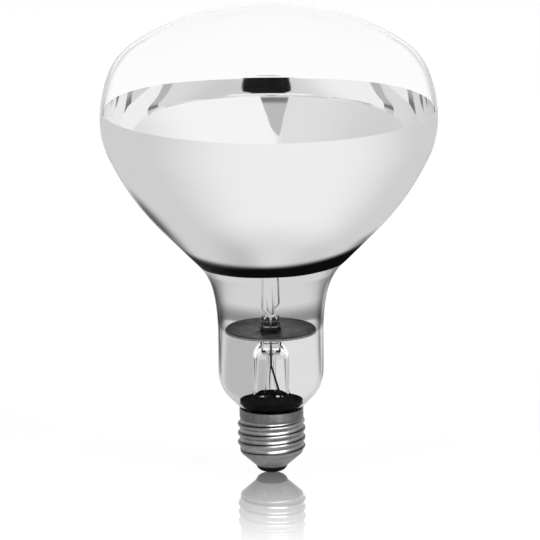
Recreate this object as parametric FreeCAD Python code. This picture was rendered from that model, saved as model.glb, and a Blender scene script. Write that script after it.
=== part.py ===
"""Infrared heat lamp: a blown reflector bulb with its stem, shield and filament, on an E27 screw cap.

Millimetres. +Z runs up the lamp's axis from the cap to the crown of the bulb. The origin is the middle
of the bottom contact, and the front of the lamp faces -Y.
"""
import FreeCAD, Part
import math
import os

Vector = FreeCAD.Vector
UP = Vector(0, 0, 1)

# Screw cap shell, E27
THREAD_CREST_DIAMETER = 26.05
THREAD_DEPTH = 0.925
THREAD_ROOT_DIAMETER = THREAD_CREST_DIAMETER - 2 * THREAD_DEPTH
THREAD_PITCH = 3.629
THREAD_START_HEIGHT = 6.5
THREAD_FADE = 1.6
THREAD_ROWS = 60
THREAD_COLUMNS = 24
COLLAR_FLARE = 0.2
COLLAR_DIAMETER = THREAD_ROOT_DIAMETER + 2 * COLLAR_FLARE
COLLAR_HEIGHT = 3.4
COLLAR_STEP = 0.4
COLLAR_FILLET = 1.0
CAP_RIM_HEIGHT = 25.6
CAP_SHEET = 0.35
CAP_FILLET = 1.6
SHELL_END_DIAMETER = 12.2
SHELL_END_HEIGHT = 2.9
CAP_CONE_HEIGHT = 5.3
RIM_NOTCH_DEPTH = 2.2

# Insulator, contact and solder
INSULATOR_FILL = 3.2
INSULATOR_BULGE = 0.6
INSULATOR_FOOT_DIAMETER = 6.6
INSULATOR_FOOT_HEIGHT = 0.6
CONTACT_DIAMETER = 5.0
CONTACT_SHEET = 0.4
CONTACT_FIT = 0.1
SOLDER_HEIGHT = 0.35
SOLDER_DIAMETER = 3.8
SOLDER_FACE_DIAMETER = 2.4
SIDE_SOLDER_DIAMETER = 2.6
SIDE_SOLDER_ANGLE = 60.0

# Outside of the glass bulb, as tangent arcs and the lines between them
BULB_DIAMETER = 129.0
CROWN_RADIUS = 95.0
SHOULDER_RADIUS = 22.8
SIDE_RADIUS = 50.0
SIDE_ANGLE = 19.3
BULGE_RADIUS = 30.0
BULGE_ANGLE = 24.0
REFLECTOR_RADIUS = 100.0
CONE_ANGLE = 44.4
THROAT_RADIUS = 24.4
THROAT_ANGLE = 12.0
THROAT_BLEND_RADIUS = 72.0
NECK_DIAMETER = 40.6
NECK_LENGTH = 15.8
HEEL_RADIUS = 15.0
HEEL_ANGLE = 45.0
SEAT_FILLET = 3.0
CEMENT_GAP = 1.45
SEAT_DIAMETER = COLLAR_DIAMETER - 2 * (CAP_SHEET + CEMENT_GAP)
SEAT_IN_CAP = 2.3
TAIL_LENGTH = 5.0
GLASS_WALL = 1.0

# Mirror film on the inside of the bulb
MIRROR_FILM = 0.15
MIRROR_ABOVE_BULGE = 4.4
MIRROR_INTO_THROAT = 1.0

# Glass stem: flare, tube and press
FLARE_ABOVE_CAP = 2.3
FLARE_RADIUS = 5.0
STEM_DIAMETER = 13.8
STEM_WALL = 1.0
STEM_HEIGHT = 24.2
STEM_SHOULDER = 6.2
STEM_PLUG = 1.5
STEM_HOLLOW_FILLET = 5.4
PRESS_WIDTH = 11.0
PRESS_THICKNESS = 6.8
PRESS_HEIGHT = 9.0
PRESS_ROOT = 4.8
PRESS_FILLET = 2.2
EXHAUST_DIAMETER = 4.0
EXHAUST_WALL = 0.8
EXHAUST_LENGTH = 32.0
EXHAUST_TIP_FILLET = 1.6
EXHAUST_HOLLOW_FILLET = 0.6

# Lead wires
LEAD_DIAMETER = 0.8
LEAD_SPACING = 8.0
LEAD_BEND = 2.0
LEAD_IN_PRESS = 1.0
LEAD_RISE = 1.4
LEAD_SPREAD = 3.2
LEAD_SPREAD_HEIGHT = 4.6
LEAD_WAIST = 3.0
LEAD_WAIST_HEIGHT = 15.0
LEAD_DROP = 4.0
SIDE_LEAD_ANGLE = -35.0
CENTER_LEAD_ASIDE = 2.7
LEAD_NOTCH_FIT = 0.1
LEAD_NOTCH_BEND = 0.55

# Heat shield across the neck
SHIELD_SHEET = 0.4
SHIELD_NECK_GAP = 1.8
SHIELD_LIP = 1.2
SHIELD_BEVEL = 0.4
SHIELD_ABOVE_STEM = 4.6
SHIELD_COLLAR = 1.6
SHIELD_PRESS_FIT = 0.2

# Filament with its arbor and supports
FILAMENT_ABOVE_THROAT = 8.0
FILAMENT_RING_DIAMETER = 21.0
COIL_DIAMETER = 1.4
COIL_GAP = 5.4
ARBOR_DIAMETER = 3.0
BUTTON_DIAMETER = 6.0
BUTTON_BELOW_FILAMENT = 7.0
SUPPORT_COUNT = 5
SUPPORT_DIAMETER = 0.5
SUPPORT_BEND = 2.0
SUPPORT_REACH = 3.6
HOOK_FIT = 0.1
HOOK_TURN = 250.0


def direction(angle):
    """Unit vector in the section plane, at an angle in degrees above the outward radius."""
    return Vector(math.cos(math.radians(angle)), 0, math.sin(math.radians(angle)))


def section(radius, height):
    """A point of a section, at a radius from the axis and a height above the contact."""
    return Vector(radius, 0, height)


def turned_to(angle, radius):
    """A level offset from the axis, at an angle in degrees from +X."""
    return Vector(math.cos(math.radians(angle)), math.sin(math.radians(angle)), 0) * radius


def line(start, end):
    return Part.LineSegment(start, end).toShape()


def rounded(points, radii):
    """Straight runs through the points, with a tangent arc of its own radius at each point between."""
    edges = []
    start = points[0]
    for before, corner, after, radius in zip(points, points[1:], points[2:], radii):
        inward = (before - corner).normalize()
        outward = (after - corner).normalize()
        half = inward.getAngle(outward) / 2
        if radius == 0:
            edges.append(line(start, corner))
            start = corner
            continue
        reach = radius / math.tan(half)
        first = corner + inward * reach
        last = corner + outward * reach
        bisector = (inward + outward).normalize()
        middle = corner + bisector * (radius / math.sin(half) - radius)
        edges.append(line(start, first))
        edges.append(Part.Arc(first, middle, last).toShape())
        start = last
    edges.append(line(start, points[-1]))
    return edges


def turned(edges):
    """The solid that a closed section makes when it is turned about the lamp's axis."""
    face = Part.Face(Part.Wire(Part.__sortEdges__(edges)))
    return face.revolve(Vector(0, 0, 0), UP, 360)


def lathe(points, radii=None):
    """A turned solid with a closed section, rounded at its corners between the end points."""
    edges = rounded(points, radii or [0] * (len(points) - 2))
    return turned(edges + [line(points[-1], points[0])])


def wire_along(edges, diameter):
    """A round wire whose middle follows a path of lines and tangent arcs."""
    path = Part.Wire(edges)
    start = edges[0].valueAt(edges[0].FirstParameter)
    heading = edges[0].tangentAt(edges[0].FirstParameter)
    end_face = Part.Face(Part.Wire(Part.makeCircle(diameter / 2, start, heading)))
    return path.makePipe(end_face)


class Arc:
    """An arc of the bulb's outline between two outward normals, with a negative radius where hollow."""

    def __init__(self, centre, radius, first, last):
        self.centre = centre
        self.radius = radius
        self.first = first
        self.last = last

    def point(self, angle, inset=0.0):
        return self.centre + direction(angle) * (self.radius - inset)

    def edge(self, inset):
        angles = (self.first, (self.first + self.last) / 2, self.last)
        return Part.Arc(*[self.point(angle, inset) for angle in angles]).toShape()


class Bulb:
    """The bulb's outline from crown to tail, as arcs whose ends join by tangent lines."""

    def __init__(self):
        self.place_neck()
        self.place_reflector()
        self.place_crown()
        self.arcs = [self.crown, self.shoulder, self.side, self.bulge, self.reflector,
                     self.throat, self.blend, self.heel, self.seat]
        self.foot = self.seat.centre.z - TAIL_LENGTH

    def place_neck(self):
        """The seat in the cap, the heel above it and the throat where the neck starts to open."""
        seat_centre = section(SEAT_DIAMETER / 2 + SEAT_FILLET, CAP_RIM_HEIGHT - SEAT_IN_CAP)
        self.seat = Arc(seat_centre, -SEAT_FILLET, -HEEL_ANGLE, 0)
        self.heel = Arc(section(NECK_DIAMETER / 2 - HEEL_RADIUS, 0), HEEL_RADIUS, 0, -HEEL_ANGLE)
        self.lift([self.heel], self.heel.point(-HEEL_ANGLE), self.seat.point(-HEEL_ANGLE), HEEL_ANGLE)
        neck_top = self.heel.centre.z + NECK_LENGTH
        blend_centre = section(NECK_DIAMETER / 2 + THROAT_BLEND_RADIUS, neck_top)
        self.blend = Arc(blend_centre, -THROAT_BLEND_RADIUS, -THROAT_ANGLE, 0)
        throat_centre = blend_centre + direction(-THROAT_ANGLE) * (THROAT_RADIUS - THROAT_BLEND_RADIUS)
        self.throat = Arc(throat_centre, -THROAT_RADIUS, -CONE_ANGLE, -THROAT_ANGLE)

    def place_reflector(self):
        """The widest bulge and the reflector under it, standing on the throat's cone."""
        self.bulge = Arc(section(BULB_DIAMETER / 2 - BULGE_RADIUS, 0), BULGE_RADIUS, 0, -BULGE_ANGLE)
        reflector_centre = self.bulge.centre + direction(-BULGE_ANGLE) * (BULGE_RADIUS - REFLECTOR_RADIUS)
        self.reflector = Arc(reflector_centre, REFLECTOR_RADIUS, -BULGE_ANGLE, -CONE_ANGLE)
        cone_top = self.reflector.point(-CONE_ANGLE)
        self.lift([self.bulge, self.reflector], cone_top, self.throat.point(-CONE_ANGLE), CONE_ANGLE)

    def place_crown(self):
        """The side above the bulge, the shoulder and the crown, whose centre is on the axis."""
        side_centre = section(BULB_DIAMETER / 2 - SIDE_RADIUS, self.bulge.centre.z)
        self.side = Arc(side_centre, SIDE_RADIUS, SIDE_ANGLE, 0)
        shoulder_centre = side_centre + direction(SIDE_ANGLE) * (SIDE_RADIUS - SHOULDER_RADIUS)
        reach = CROWN_RADIUS - SHOULDER_RADIUS
        crown_angle = math.degrees(math.acos(shoulder_centre.x / reach))
        crown_centre = shoulder_centre - direction(crown_angle) * reach
        self.shoulder = Arc(shoulder_centre, SHOULDER_RADIUS, crown_angle, SIDE_ANGLE)
        self.crown = Arc(crown_centre, CROWN_RADIUS, 90, crown_angle)

    @staticmethod
    def lift(arcs, top, bottom, angle):
        """Raise arcs until the cone under them, at an angle from the axis, meets a point below."""
        rise = bottom.z + (top.x - bottom.x) / math.tan(math.radians(angle)) - top.z
        for arc in arcs:
            arc.centre.z += rise

    def outline(self, inset):
        """Edges at an inset from the outside of the glass, from the crown down to the foot."""
        edges = []
        end = None
        for arc in self.arcs:
            start = arc.point(arc.first, inset)
            if end and (start - end).Length > Part.Precision.confusion():
                edges.append(line(end, start))
            edges.append(arc.edge(inset))
            end = arc.point(arc.last, inset)
        edges.append(line(end, section(end.x, self.foot)))
        return edges

    def between(self, outer, inner):
        """The turned solid between two insets."""
        crown = line(self.crown.point(90, outer), self.crown.point(90, inner))
        foot = [section(self.seat.point(0, inset).x, self.foot) for inset in (outer, inner)]
        return turned(self.outline(outer) + [line(*foot)] + self.outline(inner) + [crown])

    def filled(self):
        """The bulb's outside as one full solid."""
        foot = section(self.seat.point(0).x, self.foot)
        axis_foot = section(0, self.foot)
        ends = [line(foot, axis_foot), line(axis_foot, self.crown.point(90))]
        return turned(self.outline(0) + ends)

    def heel_radius(self, height):
        """Radius of the inside of the heel's cone at a height."""
        start = self.seat.point(-HEEL_ANGLE, GLASS_WALL)
        return start.x + (height - start.z) * math.tan(math.radians(HEEL_ANGLE))


class Heights:
    """Heights that several pieces share."""

    def __init__(self, bulb):
        self.contact = SOLDER_HEIGHT + CONTACT_SHEET
        self.cone_top = SHELL_END_HEIGHT + CAP_CONE_HEIGHT
        self.collar = CAP_RIM_HEIGHT - COLLAR_HEIGHT
        self.notch = CAP_RIM_HEIGHT - RIM_NOTCH_DEPTH + LEAD_DIAMETER / 2 + LEAD_NOTCH_FIT
        self.flare = CAP_RIM_HEIGHT + FLARE_ABOVE_CAP
        self.stem = self.flare + STEM_HEIGHT
        self.plug = self.stem - STEM_PLUG
        self.root = self.stem - PRESS_ROOT
        self.press = self.stem + PRESS_HEIGHT
        self.shield = self.stem + SHIELD_ABOVE_STEM
        self.filament = bulb.throat.point(-CONE_ANGLE).z + FILAMENT_ABOVE_THROAT
        self.button = self.filament - BUTTON_BELOW_FILAMENT
        self.mirror_top = bulb.bulge.centre.z + MIRROR_ABOVE_BULGE
        self.mirror_bottom = bulb.throat.point(-CONE_ANGLE).z - MIRROR_INTO_THROAT


def glass_bulb(bulb):
    return bulb.between(0, GLASS_WALL)


def mirror_coating(bulb, at):
    """The metal film, cut off at its upper and lower edges."""
    lining = bulb.between(GLASS_WALL, GLASS_WALL + MIRROR_FILM)
    height = at.mirror_top - at.mirror_bottom
    band = Part.makeCylinder(BULB_DIAMETER, height, section(0, at.mirror_bottom))
    return lining.common(band)


def rounded_block(width, depth, height, fillet, base):
    """A block on the axis with rounded upright edges."""
    block = Part.makeBox(width, depth, height, Vector(-width / 2, -depth / 2, base))
    upright = [edge for edge in block.Edges if edge.firstVertex().Z != edge.lastVertex().Z]
    return block.makeFillet(fillet, upright)


def lead_bore(side, base, top):
    """The straight run of a lead through the press, on the front (-1) or back (+1) side."""
    return Part.makeCylinder(LEAD_DIAMETER / 2, top - base, Vector(0, side * LEAD_SPACING / 2, base))


def stem_flare(bulb, at):
    """Flare, tube and press of the stem in one piece of glass, bored for the two leads."""
    tube = STEM_DIAMETER / 2
    hollow = tube - STEM_WALL
    underside = at.flare - STEM_WALL
    points = [section(0, at.stem), section(tube, at.stem), section(tube, at.flare),
              section(bulb.heel_radius(at.flare), at.flare),
              section(bulb.heel_radius(underside), underside),
              section(hollow, underside), section(hollow, at.plug), section(0, at.plug)]
    fillets = [STEM_SHOULDER, FLARE_RADIUS, 0, 0, FLARE_RADIUS + STEM_WALL, STEM_HOLLOW_FILLET]
    glass = lathe(points, fillets)
    press = rounded_block(PRESS_THICKNESS, PRESS_WIDTH, at.press - at.root, PRESS_FILLET, at.root)
    glass = glass.fuse(press)
    for side in (-1, 1):
        glass = glass.cut(lead_bore(side, at.flare, at.press))
    return glass.removeSplitter()


def exhaust_tube(at):
    """The pumping tube under the press, drawn off to a closed round tip."""
    outer = EXHAUST_DIAMETER / 2
    inner = outer - EXHAUST_WALL
    tip = at.root - EXHAUST_LENGTH
    points = [section(0, tip), section(outer, tip), section(outer, at.root), section(inner, at.root),
              section(inner, tip + EXHAUST_WALL), section(0, tip + EXHAUST_WALL)]
    return lathe(points, [EXHAUST_TIP_FILLET, 0, 0, EXHAUST_HOLLOW_FILLET])


def lead_seal(side, at):
    return lead_bore(side, at.root + LEAD_IN_PRESS, at.press - LEAD_IN_PRESS)


def inner_lead(side, at):
    """A wire from the press that steps clear of the rod and climbs to its end of the filament."""
    ring = FILAMENT_RING_DIAMETER / 2
    end_x = COIL_GAP / 2
    end_y = -math.sqrt(ring ** 2 - end_x ** 2)
    bore_y = side * LEAD_SPACING / 2
    waist_y = (bore_y + end_y) / 2
    points = [Vector(0, bore_y, at.press - LEAD_IN_PRESS),
              Vector(0, bore_y, at.press + LEAD_RISE),
              Vector(side * LEAD_SPREAD, bore_y, at.press + LEAD_SPREAD_HEIGHT),
              Vector(side * LEAD_WAIST, waist_y, at.press + LEAD_WAIST_HEIGHT),
              Vector(side * end_x, end_y, at.button),
              Vector(side * end_x, end_y, at.filament + COIL_DIAMETER)]
    return wire_along(rounded(points, [LEAD_BEND] * 4), LEAD_DIAMETER)


def side_lead(bulb, at):
    """The front lead, down the stem tube, under the bulb's tail and up to a notch in the cap's rim."""
    climb = (SEAT_DIAMETER / 2 + COLLAR_DIAMETER / 2 - CAP_SHEET) / 2
    hollow = STEM_DIAMETER / 2 - STEM_WALL - LEAD_DIAMETER
    slack = bulb.foot - LEAD_BEND
    aside = turned_to(SIDE_LEAD_ANGLE, hollow)
    points = [Vector(0, -LEAD_SPACING / 2, at.root + LEAD_IN_PRESS),
              Vector(0, -LEAD_SPACING / 2, at.root - LEAD_DROP),
              aside + UP * at.flare,
              aside + UP * slack,
              turned_to(SIDE_SOLDER_ANGLE, climb) + UP * slack,
              turned_to(SIDE_SOLDER_ANGLE, climb) + UP * at.notch,
              turned_to(SIDE_SOLDER_ANGLE, COLLAR_DIAMETER / 2 + LEAD_DIAMETER) + UP * at.notch]
    return wire_along(rounded(points, [LEAD_BEND] * 4 + [LEAD_NOTCH_BEND]), LEAD_DIAMETER)


def center_lead(at):
    """The back lead, down the stem tube and beside the pumping tube to the bottom contact."""
    aside = Vector(-CENTER_LEAD_ASIDE, CENTER_LEAD_ASIDE, 0)
    tip = at.root - EXHAUST_LENGTH
    low = (tip + SHELL_END_HEIGHT + INSULATOR_FILL) / 2
    points = [Vector(0, LEAD_SPACING / 2, at.root + LEAD_IN_PRESS),
              Vector(0, LEAD_SPACING / 2, at.root - LEAD_DROP),
              aside + UP * at.flare,
              aside + UP * tip,
              Vector(0, 0, low),
              Vector(0, 0, SOLDER_HEIGHT)]
    return wire_along(rounded(points, [LEAD_BEND] * 4), LEAD_DIAMETER)


def heat_shield(at):
    """A sheet pan with a bevelled lip, and a drawn collar that grips the press."""
    edge = NECK_DIAMETER / 2 - GLASS_WALL - SHIELD_NECK_GAP
    top = at.shield + SHIELD_SHEET
    lip = top - SHIELD_LIP
    inside = SHIELD_BEVEL - SHIELD_SHEET / 2
    pan = lathe([section(0, top), section(edge - SHIELD_BEVEL, top), section(edge, top - SHIELD_BEVEL),
                 section(edge, lip), section(edge - SHIELD_SHEET, lip),
                 section(edge - SHIELD_SHEET, at.shield - inside),
                 section(edge - SHIELD_SHEET - inside, at.shield), section(0, at.shield)])
    slot_x = PRESS_THICKNESS + 2 * SHIELD_PRESS_FIT
    slot_y = PRESS_WIDTH + 2 * SHIELD_PRESS_FIT
    fillet = PRESS_FILLET + SHIELD_PRESS_FIT
    height = SHIELD_SHEET + SHIELD_COLLAR
    wall = 2 * SHIELD_SHEET
    collar = rounded_block(slot_x + wall, slot_y + wall, height, fillet + SHIELD_SHEET, at.shield)
    slot = rounded_block(slot_x, slot_y, height, fillet, at.shield)
    return pan.fuse(collar).cut(slot).removeSplitter()


def arbor_rod(at):
    """A glass rod on the press, with the button that holds the supports."""
    rod = Part.makeCylinder(ARBOR_DIAMETER / 2, at.button - at.press, section(0, at.press))
    button = Part.makeSphere(BUTTON_DIAMETER / 2, section(0, at.button))
    return rod.fuse(button)


def filament(at):
    """The coil as a round bar, bent to a ring whose two ends face the leads."""
    ring = FILAMENT_RING_DIAMETER / 2
    gap = math.degrees(math.asin((COIL_GAP / 2 + LEAD_DIAMETER / 2 + HOOK_FIT) / ring))
    coil = Part.makeCircle(ring, section(0, at.filament), UP, gap - 90, 270 - gap)
    return wire_along([coil], COIL_DIAMETER)


def support_wire(number, at, arbor):
    """A wire from the button that runs out under the filament and hooks round it."""
    ring = FILAMENT_RING_DIAMETER / 2
    loop = COIL_DIAMETER / 2 + HOOK_FIT + SUPPORT_DIAMETER / 2
    run = at.filament - loop
    middle = section(ring, at.filament)
    points = [section(0, at.button), section(ring - SUPPORT_REACH, run), section(ring, run)]
    path = rounded(points, [SUPPORT_BEND])
    hook = [middle + direction(-90 + turn) * loop for turn in (0, HOOK_TURN / 2, HOOK_TURN)]
    path.append(Part.Arc(*hook).toShape())
    wire = wire_along(path, SUPPORT_DIAMETER).cut(arbor)
    wire.rotate(Vector(0, 0, 0), UP, -90 + number * 360 / (SUPPORT_COUNT + 1))
    return wire


def shell_cone():
    """The shell's cone in section: its two outer corners and, inside the sheet, its two inner ones."""
    low = section(SHELL_END_DIAMETER / 2, SHELL_END_HEIGHT)
    high = section(THREAD_ROOT_DIAMETER / 2, SHELL_END_HEIGHT + CAP_CONE_HEIGHT)
    along = (high - low).normalize()
    inner_low = low + Vector(-along.z, 0, along.x) * CAP_SHEET
    inner_radius = high.x - CAP_SHEET
    inner_high = section(inner_radius, inner_low.z + (inner_radius - inner_low.x) * along.z / along.x)
    return low, high, inner_low, inner_high


def eased(share):
    """A smooth climb from 0 to 1 as a share goes from 0 to 1."""
    share = min(max(share, 0), 1)
    return share * share * (3 - 2 * share)


def thread_height(turns, height, start, end):
    """How far the rolled thread stands out at a turn and a height, fading at both ends."""
    wave = (1 + math.cos(2 * math.pi * ((height - THREAD_START_HEIGHT) / THREAD_PITCH - turns))) / 2
    fade = eased((height - start) / THREAD_FADE) * eased((end - height) / THREAD_FADE)
    return wave * fade * THREAD_DEPTH


def threaded_face(profile, start, end):
    """A profile turned about the axis, with the thread's helical wave between two heights."""
    grid = []
    for point in profile.discretize(Number=THREAD_ROWS):
        ring = []
        for column in range(THREAD_COLUMNS + 1):
            turns = column / THREAD_COLUMNS
            radius = point.x + thread_height(turns, point.z, start, end)
            ring.append(turned_to(360 * turns, radius) + UP * point.z)
        grid.append(ring)
    surface = Part.BSplineSurface()
    surface.interpolate(grid)
    return surface.toShape()


def closed_edge(shape, height):
    """The full circle that bounds a turned face at a height."""
    circles = [edge for edge in shape.Edges if edge.isClosed()]
    return min(circles, key=lambda edge: abs(edge.CenterOfMass.z - height))


def cap_shell(at):
    """The screw shell: cone, thread that fades at both ends, and collar with a lead notch."""
    low, high, inner_low, inner_high = shell_cone()
    root = THREAD_ROOT_DIAMETER / 2
    collar = COLLAR_DIAMETER / 2
    step = at.collar - COLLAR_STEP
    outer = [low, high, section(root, step), section(collar, at.collar), section(collar, CAP_RIM_HEIGHT)]
    profile = Part.Wire(rounded(outer, [CAP_FILLET, COLLAR_FILLET, COLLAR_FILLET]))
    start = high.z + CAP_FILLET * math.tan((high - low).getAngle(UP) / 2)
    outside = threaded_face(profile, start, step)
    inner = [section(collar - CAP_SHEET, CAP_RIM_HEIGHT), section(collar - CAP_SHEET, at.collar),
             section(root - CAP_SHEET, step), inner_high, inner_low]
    inside = Part.Wire(rounded(inner, [0, 0, CAP_FILLET - CAP_SHEET]))
    inside = inside.revolve(Vector(0, 0, 0), UP, 360)
    rim = Part.makeRuledSurface(*[closed_edge(side, CAP_RIM_HEIGHT) for side in (outside, inside)])
    end = Part.makeRuledSurface(closed_edge(outside, low.z), closed_edge(inside, inner_low.z))
    skin = Part.makeShell([outside, rim, end] + inside.Faces)
    skin.sewShape()
    return Part.makeSolid(skin).cut(rim_notch(at))


def rim_notch(at):
    """The round-bottomed notch in the cap's rim that the side lead comes out of."""
    radius = LEAD_DIAMETER / 2 + LEAD_NOTCH_FIT
    depth = COLLAR_DIAMETER / 2
    seat = Part.makeCylinder(radius, depth, section(0, at.notch), Vector(1, 0, 0))
    slot = Part.makeBox(depth, 2 * radius, RIM_NOTCH_DEPTH, Vector(0, -radius, at.notch))
    notch = seat.fuse(slot)
    notch.translate(Vector(SEAT_DIAMETER / 2, 0, 0))
    notch.rotate(Vector(0, 0, 0), UP, SIDE_SOLDER_ANGLE)
    return notch


def capping_cement(bulb, at, lead):
    """The ring of cement between the collar and the bulb's seat."""
    ring = Part.makeCylinder(COLLAR_DIAMETER / 2 - CAP_SHEET, COLLAR_HEIGHT, section(0, at.collar))
    return ring.cut(bulb.filled()).cut(lead)


def cap_insulator(at):
    """The glass bead that fills the shell's cone and bulges below it to the contact."""
    low, _, inner_low, inner_high = shell_cone()
    top = SHELL_END_HEIGHT + INSULATOR_FILL
    along = (inner_high - inner_low).normalize()
    fill = section(inner_low.x + (top - inner_low.z) * along.x / along.z, top)
    hole = LEAD_DIAMETER / 2 + CONTACT_FIT
    foot = section(INSULATOR_FOOT_DIAMETER / 2, INSULATOR_FOOT_HEIGHT)
    outward = Vector(low.z - foot.z, 0, foot.x - low.x).normalize()
    bulge = Part.Arc(low, (low + foot) * 0.5 + outward * INSULATOR_BULGE, foot).toShape()
    recess = CONTACT_DIAMETER / 2 + CONTACT_FIT
    inside = [foot, section(recess, foot.z), section(recess, at.contact), section(hole, at.contact),
              section(hole, top), fill, inner_low, low]
    return turned(rounded(inside, [0] * (len(inside) - 2)) + [bulge])


def center_contact(at):
    """The contact plate, with the hole that the lead comes through."""
    plate = Part.makeCylinder(CONTACT_DIAMETER / 2, CONTACT_SHEET, section(0, SOLDER_HEIGHT))
    return plate.cut(Part.makeCylinder(LEAD_DIAMETER / 2, at.contact))


def contact_solder():
    """The solder on the plate, worn flat where the lampholder's contact presses."""
    return lathe([section(0, 0), section(SOLDER_FACE_DIAMETER / 2, 0),
                  section(SOLDER_DIAMETER / 2, SOLDER_HEIGHT), section(0, SOLDER_HEIGHT)])


def side_solder(at, lead):
    """The drop of solder on the collar, round the end of the side lead."""
    collar = COLLAR_DIAMETER / 2
    middle = turned_to(SIDE_SOLDER_ANGLE, collar) + UP * at.notch
    drop = Part.makeSphere(SIDE_SOLDER_DIAMETER / 2, middle)
    return drop.cut(Part.makeCylinder(collar, CAP_RIM_HEIGHT + SIDE_SOLDER_DIAMETER)).cut(lead)


def main():
    os.makedirs("parts", exist_ok=True)
    bulb = Bulb()
    at = Heights(bulb)
    arbor = arbor_rod(at)
    side = side_lead(bulb, at)
    solids = {
        "glass_bulb": glass_bulb(bulb),
        "mirror_coating": mirror_coating(bulb, at),
        "stem_flare": stem_flare(bulb, at),
        "exhaust_tube": exhaust_tube(at),
        "lead_seal_front": lead_seal(-1, at),
        "lead_seal_back": lead_seal(1, at),
        "inner_lead_front": inner_lead(-1, at),
        "inner_lead_back": inner_lead(1, at),
        "side_lead": side,
        "center_lead": center_lead(at),
        "heat_shield": heat_shield(at),
        "arbor_rod": arbor,
        "filament": filament(at),
        "cap_shell": cap_shell(at),
        "capping_cement": capping_cement(bulb, at, side),
        "cap_insulator": cap_insulator(at),
        "center_contact": center_contact(at),
        "contact_solder": contact_solder(),
        "side_solder": side_solder(at, side),
    }
    for number in range(1, SUPPORT_COUNT + 1):
        solids[f"support_wire_{number}"] = support_wire(number, at, arbor)
    for name, solid in solids.items():
        solid.exportStep(f"parts/{name}.step")


main()
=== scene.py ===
import math
from bisect import bisect_left
import bpy
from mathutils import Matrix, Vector


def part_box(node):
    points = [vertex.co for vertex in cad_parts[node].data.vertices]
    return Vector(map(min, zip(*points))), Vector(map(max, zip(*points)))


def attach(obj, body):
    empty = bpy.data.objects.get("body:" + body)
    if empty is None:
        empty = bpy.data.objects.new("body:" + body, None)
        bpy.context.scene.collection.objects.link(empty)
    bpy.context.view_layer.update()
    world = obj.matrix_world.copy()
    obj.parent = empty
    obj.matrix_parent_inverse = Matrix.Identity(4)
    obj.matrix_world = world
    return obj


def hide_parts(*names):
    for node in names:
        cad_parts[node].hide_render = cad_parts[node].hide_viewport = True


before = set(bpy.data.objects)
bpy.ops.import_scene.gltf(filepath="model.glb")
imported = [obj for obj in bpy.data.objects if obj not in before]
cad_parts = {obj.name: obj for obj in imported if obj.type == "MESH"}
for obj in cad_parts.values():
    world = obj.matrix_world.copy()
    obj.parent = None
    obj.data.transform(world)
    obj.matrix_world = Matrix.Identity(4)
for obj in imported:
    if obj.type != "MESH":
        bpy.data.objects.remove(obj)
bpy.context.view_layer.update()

# Bulb outline from the crown down, in metres and in degrees of its outward normal
UPWARD = 90.0
BULB_DIAMETER = 0.129
CROWN_RADIUS = 0.095
SHOULDER_RADIUS = 0.0228
SIDE_RADIUS = 0.050
SIDE_ANGLE = 19.3
BULGE_RADIUS = 0.030
BULGE_ANGLE = 24.0
REFLECTOR_RADIUS = 0.100
CONE_ANGLE = 44.4
THROAT_RADIUS = 0.0244
THROAT_ANGLE = 12.0
THROAT_BLEND_RADIUS = 0.072
NECK_DIAMETER = 0.0406
NECK_LENGTH = 0.0158
HEEL_RADIUS = 0.015
HEEL_ANGLE = 45.0
SEAT_FILLET = 0.003
SEAT_DIAMETER = 0.021
SEAT_HEIGHT = 0.0233
TAIL_LENGTH = 0.005
GLASS_WALL = 0.001

# Trimmed off the outside of the glass, so that the mesh stays inside the CAD box
GLASS_TRIM = 0.00003

# Mirror film, which starts a hair inside the wall of the glass
FILM_IN_GLASS = 0.00002
FILM_THICKNESS = 0.0001
FILM_TRIM = 0.0001

# Lower edge of the film, with the number, size and start in radians of each wave round the throat
EDGE_WOBBLE = 0.0006
EDGE_RISE = 0.0018
EDGE_WAVES = [(1, 1.0, 0.6), (3, 0.5, 1.9), (7, 0.25, 0.0)]

# Filament coil, with half of its ring's gap in degrees
COIL_WIRE_DIAMETER = 0.00028
COIL_PITCH = 0.00055
COIL_STEPS = 12
COIL_SIDES = 6
COIL_HALF_GAP = 17.6

# Meshes
LATHE_SEGMENTS = 256
ARC_STEP = 0.0013
FILM_ARC_STEP = ARC_STEP / 10
FILM_ROWS = 90
LEAST_ARC_STEPS = 3
SAME_POINT = 1e-7
SHARP_ANGLE = 40.0
WIRE_SHARP_ANGLE = 60.0
WELD_DISTANCE = 1e-6

# From here on a pair of limits is where a change starts and ends, and a pair of tones, shares or
# lights is what it goes from and to. Places and heights are metres in the lamp's own frame.

# Glass, with a bloom behind the heat shield and smoke where the neck is seen at a slant
GLASS_IOR = 1.5
GLASS_SHEEN = 0.05
EDGE_SHEEN = (0.15, 0.95)
CLEAR_TINT = 0.995
BLOOM_TINT = 0.64
BLOOM_RISE = (0.0530, 0.0540)
BLOOM_FADE = (0.0550, 0.0612)
BLOOM_SIDE = 0.020
BLOOM_SIDE_RISE = 0.006
BLOOM_FRONT = (-0.014, -0.002)
SMOKE_TINT = 0.78
SMOKE_SLANT = (0.042, 0.18)
SMOKE_HEIGHTS = (0.0578, 0.0800)
SMOKE_SOFT = 0.001

# Film, with a band of painted shade above its lower edge, standing in for the dark that the film mirrors
# there
FILM_TONE = 0.95
FILM_ROUGHNESS = (0.02, 0.05)
FILM_FOOT = 0.0009
FILM_LEAN = 0.035
FILM_SIDE = 0.026
FILM_SIDE_RISE = 0.0020
FILM_SHADE_BAND = (0.0030, 0.0064)
FILM_SHADE_BAND_TONE = (0.10, 0.004)
FILM_SHADE_BAND_SIDES = (-0.026, -0.004)
FILM_SHADE_BAND_COVER = (0.55, 1.0)
FILM_SHADE_BAND_FOOT = (0.0003, 0.0006)

# Painted shade on the stem glass: black under the flare, where the dark inside of the cap shows through
STEM_SHADE_RADIUS = 0.0133
STEM_SHADE_HEIGHT = 0.0312
STEM_SHADE_RAGGED = 0.0010
STEM_SHADE_SOFT = 0.0002
# Tone of the black used for painted shade, on the stem and at the film's lower edge
PAINTED_SHADE_TONE = 0.004
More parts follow.
